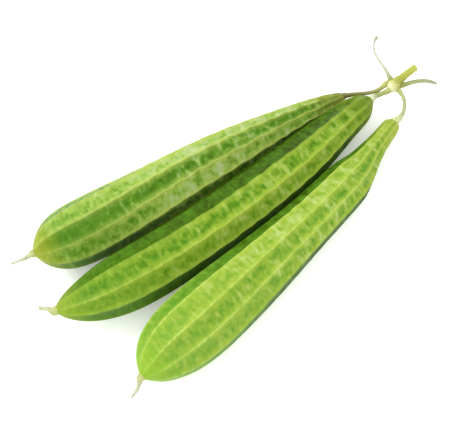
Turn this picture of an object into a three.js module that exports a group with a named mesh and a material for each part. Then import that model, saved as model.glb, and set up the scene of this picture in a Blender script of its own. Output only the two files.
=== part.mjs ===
// A bunch of three ridge gourds (angled luffa), picked with the short piece of vine that all three hang
// from, and laid down on a flat surface. Each gourd is a club: a narrow neck at its stalk, a belly near the
// blossom end, ten ridges from end to end, and the withered style of the flower as a thin tail.
//
// Millimetres. +Z is up and the surface is z = 0. +X runs from the blossom ends to the vine, and the
// slim gourd lies on the +Y side. The origin is under the middle of the bunch's box.
import * as THREE from "three";

const GAP = 0.3; // kept between two pieces that touch
const SQUARE_START = 1.5; // the straight start of a piece that grows out of another one's end
const UP = new THREE.Vector3(0, 0, 1);

// ---------------------------------------------------------------------------------- turned and bent pieces

const point = ([x, y, z]) => new THREE.Vector3(x, y, z);
const curve = (points) => new THREE.CatmullRomCurve3(points.map(point), false, "centripetal");

// The directions at a share of the way along a curve: forwards, to the side and upwards.
function axesAt(line, share) {
  const ahead = line.getTangentAt(share);
  const side = new THREE.Vector3().crossVectors(ahead, UP).normalize();
  return { ahead, side, over: new THREE.Vector3().crossVectors(side, ahead) };
}

// Turns a profile on a lathe and bends it along a line. The profile's points are [distance along, radius],
// and each span between two of them gets the same number of rings. `section` gives each corner's angle from
// the top and its share of the radius, and is round where it is left out.
function bentTurning({ line, profile, ringsPerSpan, corners, section = roundSection }) {
  const length = profile.at(-1)[0];
  const outline = new THREE.SplineCurve(profile.map(([along, radius]) => new THREE.Vector2(radius, along)));
  const rings = outline.getPoints(ringsPerSpan * (profile.length - 1));
  const turned = [new THREE.Vector2(0, 0), ...rings, new THREE.Vector2(0, length)];
  const geometry = new THREE.LatheGeometry(turned, corners);
  const place = geometry.getAttribute("position");
  for (let i = 0; i < place.count; i++) {
    const ring = i % turned.length;
    const corner = (i - ring) / turned.length;
    const radius = turned[ring].x;
    const share = THREE.MathUtils.clamp(turned[ring].y / length, 0, 1);
    const { angle, reach } = section(corner % corners, share, corners);
    const { side, over } = axesAt(line, share);
    const at = line
      .getPointAt(share)
      .addScaledVector(over, radius * reach * Math.cos(angle))
      .addScaledVector(side, radius * reach * Math.sin(angle));
    place.setXYZ(i, at.x, at.y, at.z);
  }
  geometry.computeVertexNormals();
  return geometry;
}

function roundSection(corner, share, corners) {
  return { angle: (corner / corners) * 2 * Math.PI, reach: 1 };
}

// A line that starts a gap away from the end face of another one, leaves it squarely, and goes on through
// more points.
function lineFrom(face, ahead, points) {
  const squarely = [GAP, GAP + SQUARE_START].map((along) => face.clone().addScaledVector(ahead, along));
  return new THREE.CatmullRomCurve3([...squarely, ...points.map(point)], false, "centripetal");
}

const bunch = new THREE.Group();

function add(name, geometry, material) {
  const mesh = new THREE.Mesh(geometry, material);
  mesh.name = name;
  bunch.add(mesh);
  return mesh;
}

// ------------------------------------------------------------------------------------------------- finishes

const finish = (name, color, roughness) =>
  new THREE.MeshStandardMaterial({ name, color, roughness, metalness: 0 });
const deepGreenSkin = finish("deep_green_skin", 0x6f9c3c, 0.45);
const midGreenSkin = finish("mid_green_skin", 0x7aa83c, 0.45);
const brightGreenSkin = finish("bright_green_skin", 0x94bd48, 0.42);
const stalkGreen = finish("stalk_green", 0xb4c070, 0.55);
const witheredStyle = finish("withered_style", 0xb9bb9a, 0.8);
const vineGreen = finish("vine_green", 0xc3cc55, 0.5);
const tendrilGreen = finish("tendril_green", 0xb3ba88, 0.6);

// --------------------------------------------------------------------------------------------------- gourds

const CORNER_SHARES = [0, 0.07, 0.3, 0.5, 0.7, 0.93]; // a ridge's corners, as shares of the way to the next
const RIB_HEIGHT = 0.02; // of the thin rib along each crest, as a share of the radius
const GOURD_RINGS_PER_SPAN = 2;
const HOLLOW_AT_NECK = 0.06; // depth of the furrows, as a share of the radius
const HOLLOW_AT_BELLY = 0.015;
const FURROWS_EASE_BY = 0.45; // the share of the length over which the neck's deep furrows level out
const TWIST_FROM = 0.5; // the share of the length where the ridges begin to turn round the belly
const TWIST_TO = 0.9;

// `line` runs from the neck to the blossom end, `profile` is the crest of the ridges as [along, radius],
// `ridges` holds the crests' angles in degrees, from the top and round by the +Y side, and `twist` is how
// far the ridges have turned that way at the blossom end.
const gourds = {
  slim: {
    material: deepGreenSkin,
    line: curve([
      [129.5, 23, 12.2],
      [85, 29.9, 15],
      [13, 37, 20],
      [-56, 42.8, 22.3],
      [-100, 48.4, 23],
      [-124, 53.6, 22.4],
      [-137, 56.8, 22],
    ]),
    profile: [
      [0, 3.4],
      [3, 5],
      [11, 6.9],
      [28, 9.8],
      [45, 12],
      [61, 14.1],
      [90, 17.8],
      [118, 20.5],
      [157, 22.7],
      [190, 23.9],
      [210, 24.5],
      [225, 24.5],
      [237, 23.9],
      [247, 22.2],
      [255, 19.2],
      [261.5, 14.8],
      [266.5, 9.2],
      [270, 3],
    ],
    ridges: [9, 44, 79, 115, 150, 186, 221, 257, 297, 334],
    twist: -11,
  },
  long: {
    material: midGreenSkin,
    line: curve([
      [145, 7.2, 15],
      [112, 4, 17],
      [61, -3, 20],
      [-18, -6.4, 22.5],
      [-77, -4.3, 23.2],
      [-120, 2.2, 22.3],
      [-149, 11, 21.5],
    ]),
    profile: [
      [0, 2.8],
      [3, 5.8],
      [9, 10],
      [17, 12.8],
      [33, 14.8],
      [50, 16.8],
      [68, 18.6],
      [90, 20.3],
      [125, 21.7],
      [164, 22.6],
      [200, 23.3],
      [225, 23.6],
      [243, 23.2],
      [258, 21.4],
      [270, 18.6],
      [280, 15],
      [288, 11],
      [294, 6.8],
      [298, 2.4],
    ],
    ridges: [11, 44, 79, 114, 150, 186, 222, 258, 294, 330],
    twist: 4,
  },
  stout: {
    material: brightGreenSkin,
    line: curve([
      [146.5, -19.3, 11.6],
      [116, -28.2, 13.8],
      [96, -35, 15.4],
      [66, -41.6, 17.8],
      [-13, -53.9, 23],
      [-76, -60.6, 25.6],
      [-105, -62.6, 24.8],
      [-129.8, -66.8, 23.5],
    ]),
    profile: [
      [0, 3.4],
      [2, 6],
      [6, 7.4],
      [12, 7.8],
      [20, 8.2],
      [35, 10.4],
      [50, 13.9],
      [65, 17.9],
      [80, 18.8],
      [103, 19.6],
      [125, 20.8],
      [150, 22.8],
      [175, 24.9],
      [200, 26.8],
      [220, 27.9],
      [236, 27.7],
      [250, 26.1],
      [261, 22.9],
      [270, 18.4],
      [276.5, 13],
      [280.5, 7.8],
      [283.5, 3],
    ],
    ridges: [33, 68, 103, 138, 173, 209, 247, 289, 325, 357],
    twist: -6,
  },
};

// The skin runs nearly straight from crest to crest, and is hollow between them, most of all at the neck. A
// thin rib stands on each crest.
function ridgedSection({ ridges, twist }) {
  return (corner, share) => {
    const across = CORNER_SHARES[corner % CORNER_SHARES.length];
    const ridge = Math.floor(corner / CORNER_SHARES.length);
    const crest = THREE.MathUtils.degToRad(ridges[ridge]);
    const next = THREE.MathUtils.degToRad(ridges[ridge + 1] ?? ridges[0] + 360);
    const spread = next - crest;
    const chord = Math.cos(spread / 2) / Math.cos((across - 0.5) * spread);
    const eased = THREE.MathUtils.smoothstep(share, 0, FURROWS_EASE_BY);
    const hollow = THREE.MathUtils.lerp(HOLLOW_AT_NECK, HOLLOW_AT_BELLY, eased) * Math.sin(Math.PI * across);
    const rib = across === 0 ? RIB_HEIGHT : 0;
    const turned = THREE.MathUtils.degToRad(twist) * THREE.MathUtils.smoothstep(share, TWIST_FROM, TWIST_TO);
    return { angle: crest + across * spread + turned, reach: chord - RIB_HEIGHT - hollow + rib };
  };
}

for (const [kind, gourd] of Object.entries(gourds)) {
  const geometry = bentTurning({
    line: gourd.line,
    profile: gourd.profile,
    ringsPerSpan: GOURD_RINGS_PER_SPAN,
    corners: gourd.ridges.length * CORNER_SHARES.length,
    section: ridgedSection(gourd),
  });
  // Each gourd is let down until its own lowest ridge meets the surface.
  geometry.computeBoundingBox();
  gourd.drop = new THREE.Vector3(0, 0, -geometry.boundingBox.min.z);
  geometry.translate(...gourd.drop);
  add(`${kind}_gourd`, geometry, gourd.material);
}

// The middle of a gourd's end face, and the direction that it faces.
function endOf(gourd, share) {
  const outwards = gourd.line.getTangentAt(share);
  if (share === 0) outwards.negate();
  return { face: gourd.line.getPointAt(share).add(gourd.drop), outwards };
}

// ------------------------------------------------------------------------------- withered styles at the tips

const TAIL_RINGS_PER_SPAN = 3;
const TAIL_CORNERS = 10;

const tails = {
  slim: {
    points: [
      [-145.5, 58.8, 21],
      [-155, 63.2, 17.5],
    ],
    profile: [
      [0, 3],
      [2.5, 2.2],
      [6, 1.5],
      [12, 1.2],
      [20, 0.95],
    ],
  },
  long: {
    points: [
      [-152.5, 15.5, 20.5],
      [-157.5, 21.8, 18],
    ],
    profile: [
      [0, 3.4],
      [2.5, 2.6],
      [6, 1.8],
      [9, 1.4],
      [11, 1.7],
      [12.5, 1.3],
    ],
  },
  stout: {
    points: [
      [-136.5, -70.6, 22],
      [-143.7, -72.6, 19],
    ],
    profile: [
      [0, 3.4],
      [2.5, 2.5],
      [6, 1.6],
      [11, 1.2],
      [17, 1],
    ],
  },
};

for (const [kind, tail] of Object.entries(tails)) {
  const { face, outwards } = endOf(gourds[kind], 1);
  const geometry = bentTurning({
    line: lineFrom(face, outwards, tail.points),
    profile: tail.profile,
    ringsPerSpan: TAIL_RINGS_PER_SPAN,
    corners: TAIL_CORNERS,
  });
  add(`${kind}_gourd_tail`, geometry, witheredStyle);
}

// --------------------------------------------------------------------------------------------------- stalks

const STALK_RINGS_PER_SPAN = 4;
const STALK_CORNERS = 10;

// Each stalk spreads into a collar where it meets its gourd, and ends against the vine's knuckle.
const stalks = {
  slim: {
    points: [
      [138.5, 19.4, 13.4],
      [147.5, 13.4, 14],
      [154, 10.3, 15],
      [162.4, 10, 15.9],
    ],
    profile: [
      [0, 2.6],
      [4, 1.7],
      [12, 1.35],
      [27, 1.35],
      [33, 1.5],
      [37, 2.1],
    ],
  },
  long: {
    points: [
      [150.5, 7.3, 14.4],
      [156.5, 5.6, 14.7],
      [160.4, 4.6, 15],
      [162, 4.6, 15.2],
    ],
    profile: [
      [0, 2.5],
      [4, 1.8],
      [9, 1.5],
      [14, 1.6],
      [18, 2],
    ],
  },
  stout: {
    points: [
      [152.5, -18.9, 13.2],
      [160.5, -15.3, 14.1],
      [165.4, -9.5, 15],
      [167.3, -3.6, 15.5],
      [167.8, 0.2, 15.7],
    ],
    profile: [
      [0, 3.2],
      [5, 2.3],
      [12, 1.5],
      [22, 1.2],
      [30, 1.4],
      [34, 2],
    ],
  },
};

for (const [kind, stalk] of Object.entries(stalks)) {
  const { face, outwards } = endOf(gourds[kind], 0);
  const geometry = bentTurning({
    line: lineFrom(face, outwards, stalk.points),
    profile: stalk.profile,
    ringsPerSpan: STALK_RINGS_PER_SPAN,
    corners: STALK_CORNERS,
  });
  add(`${kind}_gourd_stalk`, geometry, stalkGreen);
}

// ----------------------------------------------------------------------------------------- the piece of vine

const VINE_RINGS_PER_SPAN = 3;
const VINE_CORNERS = 14;

// Cut square at both ends, with the swollen knuckle that the stalks and tendrils grow from.
const vine = bentTurning({
  line: curve([
    [162.6, 4.6, 15.3],
    [167, 5.1, 16],
    [174, 6, 16.9],
    [190.8, 6.2, 18.6],
  ]),
  profile: [
    [0, 2.8],
    [2.2, 3.8],
    [5, 4.3],
    [8.5, 3.6],
    [13, 2.7],
    [19, 2.4],
    [25, 2.4],
    [28.5, 2.5],
  ],
  ringsPerSpan: VINE_RINGS_PER_SPAN,
  corners: VINE_CORNERS,
});
add("vine_piece", vine, vineGreen);

// ------------------------------------------------------------------------------------------------- tendrils

const TENDRIL_RINGS_PER_SPAN = 4;
const TENDRIL_CORNERS = 8;

// Both grow from the knuckle and droop until their ends are just clear of the surface.
const tendrils = {
  curled_tendril: {
    points: [
      [168.7, 10.1, 16.3],
      [169.9, 14, 16.5],
      [172.2, 22, 16.4],
      [175.1, 33.9, 14],
      [181.7, 44.5, 9.3],
      [189.7, 51.3, 4.7],
      [194.8, 53.8, 1.9],
    ],
    profile: [
      [0, 2],
      [3, 1.4],
      [8, 1.1],
      [24, 0.8],
      [44, 0.65],
      [50, 0.9],
      [54, 1.3],
      [57, 0.9],
    ],
  },
  straight_tendril: {
    points: [
      [173.4, 1, 15.9],
      [176, 0.2, 15.6],
      [181, -0.7, 14.3],
      [191.9, -3.8, 10],
      [198.9, -7.2, 5.6],
      [203.2, -9.9, 1.6],
    ],
    profile: [
      [0, 1.4],
      [3, 1.15],
      [9, 1.05],
      [20, 1],
      [30, 0.85],
      [35.5, 0.5],
    ],
  },
};

for (const [name, tendril] of Object.entries(tendrils)) {
  const geometry = bentTurning({
    line: curve(tendril.points),
    profile: tendril.profile,
    ringsPerSpan: TENDRIL_RINGS_PER_SPAN,
    corners: TENDRIL_CORNERS,
  });
  add(name, geometry, tendrilGreen);
}

// The bunch is moved as one, so that the origin is under the middle of its box.
const box = new THREE.Box3().setFromObject(bunch);
const middle = box.getCenter(new THREE.Vector3());
bunch.position.set(-middle.x, -middle.y, -box.min.z);

export default bunch;
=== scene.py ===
import math

import bmesh
import bpy
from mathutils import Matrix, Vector, noise


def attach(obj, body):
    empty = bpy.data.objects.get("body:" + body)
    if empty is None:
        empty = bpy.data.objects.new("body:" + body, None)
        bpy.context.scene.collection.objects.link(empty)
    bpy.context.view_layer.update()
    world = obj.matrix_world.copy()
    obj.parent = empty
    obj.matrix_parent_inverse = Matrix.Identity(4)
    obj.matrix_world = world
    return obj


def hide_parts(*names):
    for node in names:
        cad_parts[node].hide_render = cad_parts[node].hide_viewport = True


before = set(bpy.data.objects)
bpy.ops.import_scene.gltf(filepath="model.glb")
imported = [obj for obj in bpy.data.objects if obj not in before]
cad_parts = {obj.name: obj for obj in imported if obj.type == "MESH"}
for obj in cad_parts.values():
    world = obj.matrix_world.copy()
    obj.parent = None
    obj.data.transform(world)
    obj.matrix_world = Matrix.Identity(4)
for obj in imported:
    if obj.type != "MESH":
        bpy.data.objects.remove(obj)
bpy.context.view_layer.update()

# ------------------------------------------------------------------------------------------------ the camera
# A short telephoto held over the near side of the bunch, looking down steeply at it, so that the gourds
# fan out from the vine at the upper right.

CAMERA_AZIMUTH = -38
CAMERA_ELEVATION = 65
CAMERA_DISTANCE = 0.818
LOOKED_AT = Vector((-0.0227, 0.0080, 0.012))


def way_to(azimuth, elevation):
    """The direction from the bunch to a compass angle round it and a height above the floor, in degrees."""
    azimuth, elevation = math.radians(azimuth), math.radians(elevation)
    level = math.cos(elevation)
    return Vector((math.sin(azimuth) * level, -math.cos(azimuth) * level, math.sin(elevation)))


camera_data = bpy.data.cameras.new("camera")
camera_data.lens = 85
camera_data.sensor_width = 36
camera = bpy.data.objects.new("camera", camera_data)
bpy.context.scene.collection.objects.link(camera)
towards_camera = way_to(CAMERA_AZIMUTH, CAMERA_ELEVATION)
camera.location = LOOKED_AT + towards_camera * CAMERA_DISTANCE
camera.rotation_euler = towards_camera.to_track_quat("Z", "Y").to_euler()
bpy.context.scene.camera = camera

# ------------------------------------------------------------------------------------------------ the gourds
# Each gourd is one fruit with a thin tough rind. Its ten ridges are thin ribs that waver a little, and the
# rind between them puckers crosswise, most of all towards the stalk. The belly's end is smooth.

MM = 0.001
SAME_CORNER = 0.02 * MM  # corners nearer than this are welded
LONGEST_SPAN = 6.5 * MM  # between two rings of the mesh, before it is smoothed
CORNER_SHARES = [0, 0.07, 0.3, 0.5, 0.7, 0.93]  # a ridge's corners, as shares of the way to the next ridge

# shares of a gourd's length, from the stalk
NECK = 0.14  # in which the faces come to differ in tone
LEVELLING_FROM = 0.6  # where their tones start to level out again
LEVELLING_SPAN = 0.3  # in which they do
ENDS = (0.05, 0.06)  # at the stalk and at the blossom end, in which puckers and waver die out
PUCKERS_END = 0.86  # where the rind has become smooth
PUCKERS_SPAN = 0.3  # in which it does
PUCKERS_LEFT = 0.12  # of their depth, on the smooth part

WAVER_LENGTH = 17 * MM  # of one wave of a rib
DRIFTS_A_METRE = 30  # of the waves out of step with each other
WIGGLE = (7 * MM, 9 * MM)  # from one smaller wave to the next, along and across
PUCKER_LENGTH = 6.5 * MM  # from one crosswise pucker to the next
PUCKER_WIDTH = 13 * MM  # of a pucker, round the gourd
PUCKER_DEPTH = 1.1 * MM
PUCKER_LEVEL = 0.15  # of the noise, under which the rind is drawn in
AXIS = 0.5 * MM  # corners nearer to the gourd's axis stay where they are


def welded_copy(cad_node, name, starts_high_x):
    """A copy of a CAD node as one closed surface, of quads but for its two ends, active and in edit mode."""
    bpy.ops.object.select_all(action="DESELECT")
    piece = bpy.data.objects.new(name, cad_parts[cad_node].data.copy())
    piece.data.name = name
    bpy.context.scene.collection.objects.link(piece)
    piece.select_set(True)
    bpy.context.view_layer.objects.active = piece
    bpy.ops.object.mode_set(mode="EDIT")
    bpy.ops.mesh.select_all(action="SELECT")
    bpy.ops.mesh.remove_doubles(threshold=SAME_CORNER)
    bpy.ops.mesh.select_all(action="DESELECT")
    mesh = bmesh.from_edit_mesh(piece.data)
    rings = rings_of(mesh, starts_high_x)
    for ring, after in zip(rings, rings[1:]):
        for corner, opposite in zip(ring, after):
            for edge in corner.link_edges:
                other = edge.other_vert(corner)
                edge.select_set(edge.select or (other in after and other != opposite))
    bmesh.update_edit_mesh(piece.data)
    bpy.ops.mesh.dissolve_edges(use_verts=False)
    return piece


def poles_of(mesh):
    """The two corners in which a turned mesh ends."""
    return sorted(mesh.verts, key=lambda v: -len(v.link_edges))[:2]


def rings_of(mesh, starts_high_x):
    """The corners of a turned mesh, ring by ring from one end, each ring in the same order round."""
    pole = (max if starts_high_x else min)(poles_of(mesh), key=lambda v: v.co.x)
    first = {edge.other_vert(pole) for edge in pole.link_edges}
    ring = [min(first, key=lambda v: v.index)]
    while len(ring) < len(first):
        around = (edge.other_vert(ring[-1]) for edge in ring[-1].link_edges)
        ring.append(next(v for v in around if v in first and v not in ring))
    seen = {pole}
    rings = []
    while len(set(ring)) == len(ring):
        rings.append(ring)
        seen.update(ring)
        ring = ring_after(ring, seen)
    return rings


def ring_after(ring, seen):
    """The corners straight ahead of a ring's, whether the faces between them are quads or triangles."""
    ahead = [{edge.other_vert(v) for edge in v.link_edges} - seen for v in ring]
    if len(ahead[0]) == 1:
        return [choices.pop() for choices in ahead]
    sides = (ahead[1:] + ahead[:1], ahead[-1:] + ahead[:-1])
    rings = [[(here & beside).pop() for here, beside in zip(ahead, side)] for side in sides]
    return min(rings, key=lambda after: sum((v.co - w.co).length for v, w in zip(ring, after)))


def middle_of(ring):
    """The point in the middle of a ring."""
    return sum((v.co for v in ring), Vector()) / len(ring)


def halve_long_spans(piece, starts_high_x):
    """Adds rings halfway along every span that is too long, until none is, and gives back mesh and rings."""
    while True:
        mesh = bmesh.from_edit_mesh(piece.data)
        rings = rings_of(mesh, starts_high_x)
        spans = [pair for pair in zip(rings, rings[1:]) if span_length(pair) > LONGEST_SPAN]
        if not spans:
            return mesh, rings
        bpy.ops.mesh.select_all(action="DESELECT")
        for ring, after in spans:
            for low, high in zip(ring, after):
                mesh.edges.get((low, high)).select_set(True)
        bmesh.update_edit_mesh(piece.data)
        bpy.ops.mesh.subdivide(number_cuts=1)


def span_length(pair):
    """The length between the middles of two rings."""
    return (middle_of(pair[0]) - middle_of(pair[1])).length


def smooth(piece, levels):
    """Rounds a piece off by subdivision."""
    modifier = piece.modifiers.new("smooth", "SUBSURF")
    modifier.levels = levels
    modifier.render_levels = levels
    bpy.ops.object.modifier_apply(modifier=modifier.name)
    bpy.ops.object.shade_smooth()


def write_attribute(piece, name, values):
    """Keeps a number for every corner on the mesh."""
    piece.data.attributes.new(name, "FLOAT", "POINT").data.foreach_set("value", values)


def read_attribute(piece, name):
    """The numbers that were kept for every corner, smoothed as the mesh was."""
    values = [0.0] * len(piece.data.vertices)
    piece.data.attributes[name].data.foreach_get("value", values)
    return values


def ordered_from_top(rings):
    """The same rings, each started at the first ridge past the top, going round by the +Y side."""
    # read a quarter of the way along, where the ridges don't turn yet
    ring = rings[len(rings) // 4]
    middle = middle_of(ring)
    turn = [math.atan2(v.co.y - middle.y, v.co.z - middle.z) % math.tau for v in ring]
    # rings that go round the other way are reversed
    if sum((b - a) % math.tau > math.pi for a, b in zip(turn, turn[1:])) > len(turn) / 2:
        rings = [ring[::-1] for ring in rings]
        ring = ring[::-1]
        turn = turn[::-1]
    # a ridge's own corner is the one whose neighbours are nearest to each other
    step = len(CORNER_SHARES)
    narrow = [(ring[i - 1].co - ring[(i + 1) % len(ring)].co).length for i in range(len(ring))]
    phase = min(range(step), key=lambda i: sum(narrow[i::step]))
    start = min(range(phase, len(ring), step), key=lambda i: turn[i])
    return [ring[start:] + ring[:start] for ring in rings]


def rind_shape(cad_node, name, tones_and_painted_light, end_tone, levelling, waver, pucker, seed):
    """A gourd's rind: the CAD's solid with soft ribs that waver, and puckers between them.
    tones gives how pale each of the ten faces is, round by the +Y side from the first ridge past the top:
    partly the rind's own uneven green, and partly painted shade on faces turned towards a neighbour or
    low on the near side and painted light on faces turned up. They level out towards end_tone, fully at the
    neck and by the share levelling at the blossom end, and are kept on the mesh with the way along the gourd
    and across its faces."""
    piece = welded_copy(cad_node, name, starts_high_x=True)
    mesh, rings = halve_long_spans(piece, starts_high_x=True)
    rings = ordered_from_top(rings)
    stations = [middle_of(ring) for ring in rings]
    distance = [0.0]
    for here, after in zip(stations, stations[1:]):
        distance.append(distance[-1] + (after - here).length)
    mesh.verts.index_update()
    count = len(mesh.verts)
    along = [0.0] * count
    furrow = [1.0] * count
    rib = [0.0] * count
    tone_and_painted_light = [sum(tones_and_painted_light) / len(tones_and_painted_light)] * count
    for ring, way in zip(rings, distance):
        share = way / distance[-1]
        late = min(1.0, (share - LEVELLING_FROM) / LEVELLING_SPAN)
        fading = max(0.0, levelling * late, 1 - share / NECK)
        faces = [paleness + (end_tone - paleness) * fading for paleness in tones_and_painted_light]
        for i, corner in enumerate(ring):
            ridge, place = divmod(i, len(CORNER_SHARES))
            along[corner.index] = way
            furrow[corner.index] = math.sin(math.pi * CORNER_SHARES[place])
            rib[corner.index] = 1.0 if place == 0 else 0.0
            tone_and_painted_light[corner.index] = faces[ridge] if place else (faces[ridge] + faces[ridge - 1]) / 2
    far_pole = min(mesh.verts, key=lambda v: (v.co - stations[-1]).length)
    along[far_pole.index] = distance[-1]
    bpy.ops.object.mode_set(mode="OBJECT")
    for kept, values in (("along", along), ("furrow", furrow), ("rib", rib), ("tone_and_painted_light", tone_and_painted_light)):
        write_attribute(piece, kept, values)
    smooth(piece, 2)
    pucker_rind(piece, stations, distance, waver, pucker, seed)
    return piece


def pucker_rind(piece, stations, distance, waver, pucker, seed):
    """Moves the smooth rind's corners by noise, ribs sideways and faces inwards, and keeps on the mesh
    how far each one bulges, how far along it is, and its place as if the gourd were straight."""
    length = distance[-1]
    along = read_attribute(piece, "along")
    furrow = read_attribute(piece, "furrow")
    relief = [0.0] * len(along)
    straight = [0.0] * (3 * len(along))
    station = 0
    for i in sorted(range(len(along)), key=lambda i: along[i]):
        way = along[i]
        while station < len(distance) - 2 and way > distance[station + 1]:
            station += 1
        part = (way - distance[station]) / (distance[station + 1] - distance[station])
        middle = stations[station].lerp(stations[station + 1], min(max(part, 0.0), 1.0))
        ahead = (stations[station + 1] - stations[station]).normalized()
        corner = piece.data.vertices[i]
        out = corner.co - middle
        out -= ahead * out.dot(ahead)
        straight[3 * i : 3 * i + 3] = (way, out.y, out.z)
        if out.length < AXIS:
            continue
        share = way / length
        ends = min(share / ENDS[0], (1 - share) / ENDS[1], 1.0)
        early = max(0.0, min(1.0, (PUCKERS_END - share) / PUCKERS_SPAN))
        rough = PUCKERS_LEFT + (1 - PUCKERS_LEFT) * early
        place = Vector((way / PUCKER_LENGTH, out.y / PUCKER_WIDTH + seed, out.z / PUCKER_WIDTH))
        roll = noise.noise(place) + 0.45 * noise.noise(place * 2.3)
        depth = max(0.0, PUCKER_LEVEL - roll) * PUCKER_DEPTH * pucker * rough * ends * furrow[i] ** 0.5
        drift = 4 * noise.noise(Vector((way * DRIFTS_A_METRE, seed, 3)))
        wave = math.sin(math.tau * way / WAVER_LENGTH + drift + seed)
        wave += 0.9 * noise.noise(Vector((way / WIGGLE[0], out.y / WIGGLE[1], out.z / WIGGLE[1] + seed)))
        sideways = wave * waver * MM * rough * ends * (1 - furrow[i]) ** 1.5
        corner.co += ahead.cross(out.normalized()) * sideways - out.normalized() * depth
        relief[i] = roll * rough
    write_attribute(piece, "relief", relief)
    write_attribute(piece, "share", [way / length for way in along])
    piece.data.attributes.new("straight", "FLOAT_VECTOR", "POINT").data.foreach_set("vector", straight)


def hex_colour(value):
    """An sRGB hex colour as a linear one."""
    parts = [int(value[i : i + 2], 16) / 255 for i in (1, 3, 5)]
    return [p / 12.92 if p <= 0.04045 else ((p + 0.055) / 1.055) ** 2.4 for p in parts] + [1.0]


def node(tree, kind, inputs, output=0, **settings):
    """Adds a shader node and gives back one of its outputs. An input is a value or an output to link."""
    made = tree.nodes.new(kind)
    for name, value in settings.items():
        setattr(made, name, value)
    for socket, value in inputs.items():
        if isinstance(value, bpy.types.NodeSocket):
            tree.links.new(value, made.inputs[socket])
        elif isinstance(value, str):
            made.inputs[socket].default_value = hex_colour(value)
        else:
            made.inputs[socket].default_value = value
    return made.outputs[output]


BLOTCH = 4.5 * MM
STREAK = 7 * MM  # across a face
STREAK_WIDTH = STREAK / 2.3  # along the gourd
GRAIN = 0.8 * MM  # coarser than the real grain, so that it shows


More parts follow.
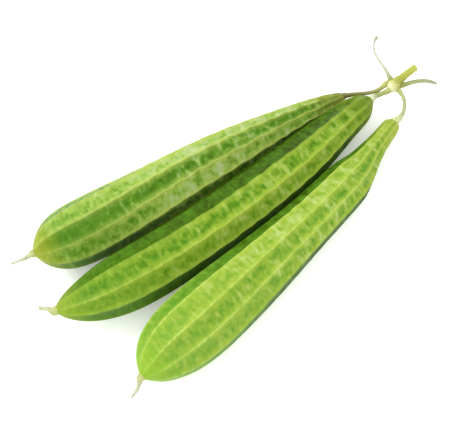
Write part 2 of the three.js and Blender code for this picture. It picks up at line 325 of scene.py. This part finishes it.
def fresh_rind(name, shade, deep, light, band, whitish_marks_and_sheen, belly_end, neck, rib_line):
    """Living cucurbit rind, grown with a thin bloom of wax: blotched green, darker on faces given painted
    shade and paler on faces given painted light, painted shade in the pucker hollows, yellower along each
    ridge, whitish marks on what bulges, partly pale speckling and partly painted highlight, painted sheen on
    the palest faces, and yellow or brown tissue at both ends."""
    material = bpy.data.materials.new(name)
    material.use_nodes = True
    tree = material.node_tree
    attributes = ("furrow", "rib", "tone_and_painted_light", "relief", "share")
    furrow, rib, tone_and_painted_light, relief, share = (
        node(tree, "ShaderNodeAttribute", {}, "Fac", attribute_name=kept) for kept in attributes
    )
    straight = node(tree, "ShaderNodeAttribute", {}, "Vector", attribute_name="straight")
    ramp, maths, mix, cloud = "ShaderNodeMapRange", "ShaderNodeMath", "ShaderNodeMix", "ShaderNodeTexNoise"

    blotch = node(tree, cloud, {"Vector": straight, "Scale": 1 / BLOTCH, "Detail": 3, "Roughness": 0.55})
    across = node(tree, "ShaderNodeMapping", {"Vector": straight, "Scale": (STREAK / STREAK_WIDTH, 1, 1)})
    streak = node(tree, cloud, {"Vector": across, "Scale": 1 / STREAK, "Detail": 2, "Roughness": 0.5})
    grain = node(tree, cloud, {"Vector": straight, "Scale": 1 / GRAIN, "Detail": 2})

    # how deep the green is: the face's tone, partly painted shade and light, blotched, less so towards the
    # blossom end, with painted shade where the rind is drawn in between puckers and lighter where it bulges
    uneven = node(tree, ramp, {"Value": share, "From Min": 0.95, "From Max": 0.6, "To Min": 0.3})
    patchy = node(tree, maths, {0: blotch, 1: 0.5}, operation="SUBTRACT")
    patchy = node(tree, maths, {0: patchy, 1: uneven}, operation="MULTIPLY")
    depth = node(tree, maths, {0: patchy, 1: 2.4, 2: tone_and_painted_light}, operation="MULTIPLY_ADD")
    depth = node(tree, maths, {0: streak, 1: 1.6, 2: depth}, operation="MULTIPLY_ADD")
    depth = node(tree, maths, {0: relief, 1: 0.55, 2: depth}, operation="MULTIPLY_ADD")
    green = node(tree, ramp, {"Value": depth, "From Min": -0.6, "From Max": 1.0})
    colour = node(tree, mix, {0: green, 6: shade, 7: deep}, 2, data_type="RGBA")
    green = node(tree, ramp, {"Value": depth, "From Min": 1.0, "From Max": 1.8})
    colour = node(tree, mix, {0: green, 6: colour, 7: light}, 2, data_type="RGBA")
    # where it is palest the green goes whitish: painted sheen on the palest faces
    green = node(tree, ramp, {"Value": depth, "From Min": 1.8, "From Max": 3.2, "To Max": 0.8})
    colour = node(tree, mix, {0: green, 6: colour, 7: whitish_marks_and_sheen}, 2, data_type="RGBA")

    # a ragged yellower band along each ridge, on the paler faces
    edge = node(tree, maths, {0: blotch, 1: -0.9, 2: furrow}, operation="MULTIPLY_ADD")
    edge = node(tree, ramp, {"Value": edge, "From Min": 0.5, "From Max": -0.5, "To Max": 0.85})
    lit = node(tree, ramp, {"Value": tone_and_painted_light, "From Min": -0.5, "From Max": 0.5})
    edge = node(tree, maths, {0: edge, 1: lit}, operation="MULTIPLY")
    calm = node(tree, ramp, {"Value": share, "From Min": 0.95, "From Max": 0.6, "To Min": 0.5})
    edge = node(tree, maths, {0: edge, 1: calm}, operation="MULTIPLY")
    colour = node(tree, mix, {0: edge, 6: colour, 7: band}, 2, data_type="RGBA")

    # whitish marks where the rind bulges between its puckers, on the paler faces: partly pale speckling,
    # partly painted highlight on the bulges
    bulge_marks_and_highlight = node(tree, maths, {0: streak, 1: 3.5, 2: relief}, operation="MULTIPLY_ADD")
    bulge_marks_and_highlight = node(tree, ramp, {"Value": bulge_marks_and_highlight, "From Min": 2.0, "From Max": 2.8, "To Max": 0.4})
    bulge_marks_and_highlight = node(tree, maths, {0: bulge_marks_and_highlight, 1: uneven}, operation="MULTIPLY")
    bulge_marks_and_highlight = node(tree, maths, {0: bulge_marks_and_highlight, 1: lit}, operation="MULTIPLY")
    colour = node(tree, mix, {0: bulge_marks_and_highlight, 6: colour, 7: whitish_marks_and_sheen}, 2, data_type="RGBA")

    # the pale line along the top of each rib, worn away in places
    line = node(tree, ramp, {"Value": rib, "From Min": 0.1, "From Max": 0.9, "To Max": 0.7})
    worn = node(tree, ramp, {"Value": streak, "From Min": 0.35, "From Max": 0.6, "To Min": 0.3})
    line = node(tree, maths, {0: line, 1: worn}, operation="MULTIPLY")
    line = node(tree, maths, {0: line, 1: lit}, operation="MULTIPLY")
    colour = node(tree, mix, {0: line, 6: colour, 7: rib_line}, 2, data_type="RGBA")

    # the tissue at the blossom end and at the neck
    end = node(tree, ramp, {"Value": share, "From Min": 0.92, "From Max": 1.0, "To Max": 0.8})
    colour = node(tree, mix, {0: end, 6: colour, 7: belly_end}, 2, data_type="RGBA")
    end = node(tree, maths, {0: blotch, 1: -0.12, 2: share}, operation="MULTIPLY_ADD")
    end = node(tree, ramp, {"Value": end, "From Min": 0.08, "From Max": -0.08, "To Max": 0.85})
    colour = node(tree, mix, {0: end, 6: colour, 7: neck}, 2, data_type="RGBA")

    shader = tree.nodes["Principled BSDF"].inputs
    tree.links.new(colour, shader["Base Color"])
    dull = {"Value": blotch, "From Min": 0.3, "From Max": 0.7, "To Min": 0.4, "To Max": 0.58}
    tree.links.new(node(tree, ramp, dull), shader["Roughness"])
    shader["IOR"].default_value = 1.4
    shader["Specular IOR Level"].default_value = 0.15
    shader["Subsurface Weight"].default_value = 0.04
    shader["Subsurface Radius"].default_value = (1.0 * MM, 1.5 * MM, 0.5 * MM)
    height = node(tree, maths, {0: streak, 1: 1.5, 2: grain}, operation="MULTIPLY_ADD")
    bump = node(tree, "ShaderNodeBump", {"Strength": 0.5, "Distance": 0.3 * MM, "Height": height})
    tree.links.new(bump, shader["Normal"])
    return material


def finish_piece(piece, material, replaced):
    """Gives a piece its material and its place in the bunch, where it stands for a CAD node."""
    piece.data.materials.clear()
    piece.data.materials.append(material)
    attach(piece, "root")
    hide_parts(replaced)


slim = rind_shape(
    "slim_gourd",
    "slim_gourd_rind",
    # the whitish tone of face 0, on top, is painted sheen
    tones_and_painted_light=[1.35, 0.9, 0.5, 0.4, 0.4, 0.4, 0.0, 0.4, 1.0, 0.1],
    end_tone=-0.2,
    levelling=0.5,
    waver=0.55,
    pucker=1.2,
    seed=1.7,
)
slim_rind = fresh_rind(
    "slim_gourd_rind",
    shade="#293f00",
    deep="#45720e",
    light="#7c9c38",
    band="#9fae4e",
    whitish_marks_and_sheen="#aab588",
    belly_end="#8a8e20",
    neck="#8a8a3c",
    rib_line="#98a650",
)
finish_piece(slim, slim_rind, "slim_gourd")

long = rind_shape(
    "long_gourd",
    "long_gourd_rind",
    # the dark tones of faces 0 and 1, towards the slim gourd, and of face 7, on the lower near side, are
    # painted shade
    tones_and_painted_light=[-0.9, -0.7, 0.2, 0.4, 0.4, 0.4, 0.0, -0.6, 1.0, 0.55],
    end_tone=0.2,
    levelling=0.5,
    waver=0.35,
    pucker=0.75,
    seed=5.3,
)
long_rind = fresh_rind(
    "long_gourd_rind",
    shade="#2e4400",
    deep="#48750e",
    light="#6f8e20",
    band="#93a836",
    whitish_marks_and_sheen="#a2b362",
    belly_end="#80942a",
    neck="#6d7d1c",
    rib_line="#96a848",
)
finish_piece(long, long_rind, "long_gourd")

stout = rind_shape(
    "stout_gourd",
    "stout_gourd_rind",
    # the dark tones of face 0, towards the long gourd, and of face 6, on the lower near side, are painted
    # shade; the pale tone of face 9, on top, is painted light
    tones_and_painted_light=[-0.7, -0.3, 0.3, 0.4, 0.4, 0.0, -1.3, 0.8, 0.65, 1.15],
    end_tone=0.6,
    levelling=0.9,
    waver=0.25,
    pucker=0.75,
    seed=9.1,
)
stout_rind = fresh_rind(
    "stout_gourd_rind",
    shade="#345000",
    deep="#568620",
    light="#7f9a2e",
    band="#94aa38",
    whitish_marks_and_sheen="#b0c07a",
    belly_end="#7ba024",
    neck="#9da844",
    rib_line="#aec260",
)
finish_piece(stout, stout_rind, "stout_gourd")

# -------------------------------------------------------------------------------------- the withered styles
# What is left of each flower: a shrivelled thread of dry tissue, grey-green and twisted. The fruit still
# holds on to it at its blossom end.

KNOBS = 3.5 * MM  # from one uneven spot of a strand to the next
SET_IN = 0.4  # of a strand's length, in which it goes over from its starting girth
FIBRE = 1.5 * MM


def strand_shape(cad_node, name, starts_high_x, reach, girth, groove, bump_height):
    """A thin strand from the CAD's: grooved along, uneven, and grown into the pieces that it joins.
    reach gives how many millimetres it goes on past its start and its end, or stops short if negative, girth
    how much it fills out at its start and further on, groove how deep its grooves are as a share of its
    radius, and bump_height how uneven it is, in millimetres. How far along each corner is, is kept."""
    piece = welded_copy(cad_node, name, starts_high_x)
    mesh = bmesh.from_edit_mesh(piece.data)
    rings = rings_of(mesh, starts_high_x)
    stations = [middle_of(ring) for ring in rings]
    mesh.verts.index_update()
    share = [0.0] * len(mesh.verts)
    for number, (ring, middle) in enumerate(zip(rings, stations)):
        way = number / (len(rings) - 1)
        fuller = girth[1] + (girth[0] - girth[1]) * max(0.0, 1 - way / SET_IN)
        for i, corner in enumerate(ring):
            share[corner.index] = way
            corner.co = middle.lerp(corner.co, fuller * (1 - groove * (i % 2)))
    for last, before, way, further in ((0, 1, 0.0, reach[0]), (-1, -2, 1.0, reach[1])):
        ahead = (stations[last] - stations[before]).normalized()
        pole = min(poles_of(mesh), key=lambda v: (v.co - stations[last]).length)
        share[pole.index] = way
        for corner in rings[last] + [pole]:
            corner.co += ahead * further * MM
    bpy.ops.object.mode_set(mode="OBJECT")
    write_attribute(piece, "share", share)
    smooth(piece, 2)
    outwards = [corner.normal.copy() for corner in piece.data.vertices]
    for corner, out in zip(piece.data.vertices, outwards):
        corner.co += out * noise.noise(corner.co / KNOBS) * bump_height * MM
    return piece


def strand_tissue(name, start, middle, end, dark, roughness):
    """Soft or dried stem tissue with a thin dull skin: the colour runs from one end to the other, and
    darker fibres show through in patches."""
    material = bpy.data.materials.new(name)
    material.use_nodes = True
    tree = material.node_tree
    share = node(tree, "ShaderNodeAttribute", {}, "Fac", attribute_name="share")
    where = node(tree, "ShaderNodeTexCoord", {}, "Object")
    ramp, mix, cloud = "ShaderNodeMapRange", "ShaderNodeMix", "ShaderNodeTexNoise"
    fibre = node(tree, cloud, {"Vector": where, "Scale": 1 / FIBRE, "Detail": 3})
    past_start = node(tree, ramp, {"Value": share, "From Min": 0.05, "From Max": 0.4})
    near_end = node(tree, ramp, {"Value": share, "From Min": 0.5, "From Max": 0.9})
    colour = node(tree, mix, {0: past_start, 6: start, 7: middle}, 2, data_type="RGBA")
    colour = node(tree, mix, {0: near_end, 6: colour, 7: end}, 2, data_type="RGBA")
    patchy = node(tree, ramp, {"Value": fibre, "From Min": 0.45, "From Max": 0.7, "To Max": 0.6})
    colour = node(tree, mix, {0: patchy, 6: colour, 7: dark}, 2, data_type="RGBA")
    shader = tree.nodes["Principled BSDF"].inputs
    tree.links.new(colour, shader["Base Color"])
    shader["Roughness"].default_value = roughness
    shader["Specular IOR Level"].default_value = 0.35
    bump = node(tree, "ShaderNodeBump", {"Strength": 0.5, "Distance": 0.2 * MM, "Height": fibre})
    tree.links.new(bump, shader["Normal"])
    return material


withered = strand_tissue(
    "withered_style",
    start="#a3ab66",
    middle="#a8ab88",
    end="#b4b4a0",
    dark="#7e805c",
    roughness=0.8,
)
for kind in ("slim", "long", "stout"):
    tail = strand_shape(
        f"{kind}_gourd_tail",
        f"{kind}_gourd_style",
        starts_high_x=True,
        reach=(2.2, 0),
        girth=(1.25, 1.15),
        groove=0.12,
        bump_height=0.3,
    )
    finish_piece(tail, withered, f"{kind}_gourd_tail")

# --------------------------------------------------------------------------------------------- the stalks
# Soft ribbed green stems that carry the gourds. Each one swells into a collar where it is grown on to its
# fruit, pale on two of them and brown on the slim gourd's, and joins the vine's knuckle at its other end.

stalks = {
    "slim": {"collar": "#6e6636", "middle": "#7d7a48", "reach": (1.8, 4), "girth": (1.25, 1.35)},
    "long": {"collar": "#d2d6b0", "middle": "#8f985c", "reach": (2.2, 2), "girth": (1.7, 1.45)},
    "stout": {"collar": "#c8cd92", "middle": "#a0a67e", "reach": (2.2, 2), "girth": (1.4, 1.3)},
}
for kind, made in stalks.items():
    stalk_green = strand_tissue(
        f"{kind}_gourd_stalk_green",
        start=made["collar"],
        middle=made["middle"],
        end="#a3a860",
        dark="#6f7636",
        roughness=0.55,
    )
    stalk = strand_shape(
        f"{kind}_gourd_stalk",
        f"{kind}_gourd_peduncle",
        starts_high_x=False,
        reach=made["reach"],
        girth=made["girth"],
        groove=0.16,
        bump_height=0.3,
    )
    finish_piece(stalk, stalk_green, f"{kind}_gourd_stalk")

# ----------------------------------------------------------------------------------------------- the vine
# A short length of ribbed vine, juicy and yellow-green, cut off square. The swollen knuckle at its other
# end is what all the stalks and tendrils grow from.

vine_green = strand_tissue(
    "vine_green",
    start="#dedfae",
    middle="#9a9d3a",
    end="#a8af50",
    dark="#7e831f",
    roughness=0.5,
)
vine = strand_shape(
    "vine_piece",
    "vine_knuckle_and_stub",
    starts_high_x=False,
    reach=(0.3, 0.2),
    girth=(1.3, 1.3),
    groove=0.14,
    bump_height=0.35,
)
finish_piece(vine, vine_green, "vine_piece")

# ------------------------------------------------------------------------------------------- the tendrils
# Wiry climbing shoots that grow from the knuckle, tough and a little dull. They taper away from it, and the
# curled one ends in a small knob.

tendrils = {
    "curled_tendril": {"middle": "#afb49c", "dark": "#858a68", "reach": (2, 0), "girth": (1.4, 1.4)},
    "straight_tendril": {"middle": "#989f6c", "dark": "#6d7444", "reach": (4, -0.4), "girth": (1.8, 1.9)},
}
for name, made in tendrils.items():
    tendril_green = strand_tissue(
        f"{name}_green",
        start="#858a3c",
        middle=made["middle"],
        end="#9da28a",
        dark=made["dark"],
        roughness=0.6,
    )
    tendril = strand_shape(
        name,
        f"{name}_strand",
        starts_high_x=False,
        reach=made["reach"],
        girth=made["girth"],
        groove=0.1,
        bump_height=0.15,
    )
    finish_piece(tendril, tendril_green, name)

# ------------------------------------------------------------------------------------------ floor and lights
# A wide flat sheet of matt white paper, which glows a little so that its shadows stay pale. One broad light
# stands behind on the left, a weaker one on the camera's side, and the white room fills in the rest.

FLOOR_DROP = 0.3 * MM  # of the paper, under the lowest ridges

bpy.ops.object.select_all(action="DESELECT")
bpy.ops.mesh.primitive_plane_add(size=6, location=(0, 0, -FLOOR_DROP))
floor = bpy.context.active_object
floor.name = "floor"
bpy.ops.object.transform_apply(location=True, rotation=False, scale=False)
paper = bpy.data.materials.new("white_paper")
paper.use_nodes = True
paper_shader = paper.node_tree.nodes["Principled BSDF"].inputs
paper_shader["Base Color"].default_value = hex_colour("#f9f9f9")
paper_shader["Roughness"].default_value = 0.9
paper_shader["Emission Color"].default_value = hex_colour("#ffffff")
paper_shader["Emission Strength"].default_value = 0.18
floor.data.materials.append(paper)

world = bpy.data.worlds.new("studio")
world.use_nodes = True
room = world.node_tree.nodes["Background"].inputs
room["Color"].default_value = hex_colour("#ffffff")
room["Strength"].default_value = 1.15
bpy.context.scene.world = world


def softbox(name, azimuth, elevation, distance, size, power):
    """A square soft light aimed at the bunch, from a compass angle round it and a height above the floor."""
    data = bpy.data.lights.new(name, "AREA")
    data.size = size
    data.energy = power
    light = bpy.data.objects.new(name, data)
    bpy.context.scene.collection.objects.link(light)
    back = way_to(azimuth, elevation)
    light.location = LOOKED_AT + back * distance
    light.rotation_euler = back.to_track_quat("Z", "Y").to_euler()


softbox("key", azimuth=-150, elevation=38, distance=1.6, size=1.0, power=18)
softbox("fill", azimuth=-45, elevation=45, distance=1.8, size=1.4, power=11)

bpy.context.scene.view_settings.view_transform = "Standard"
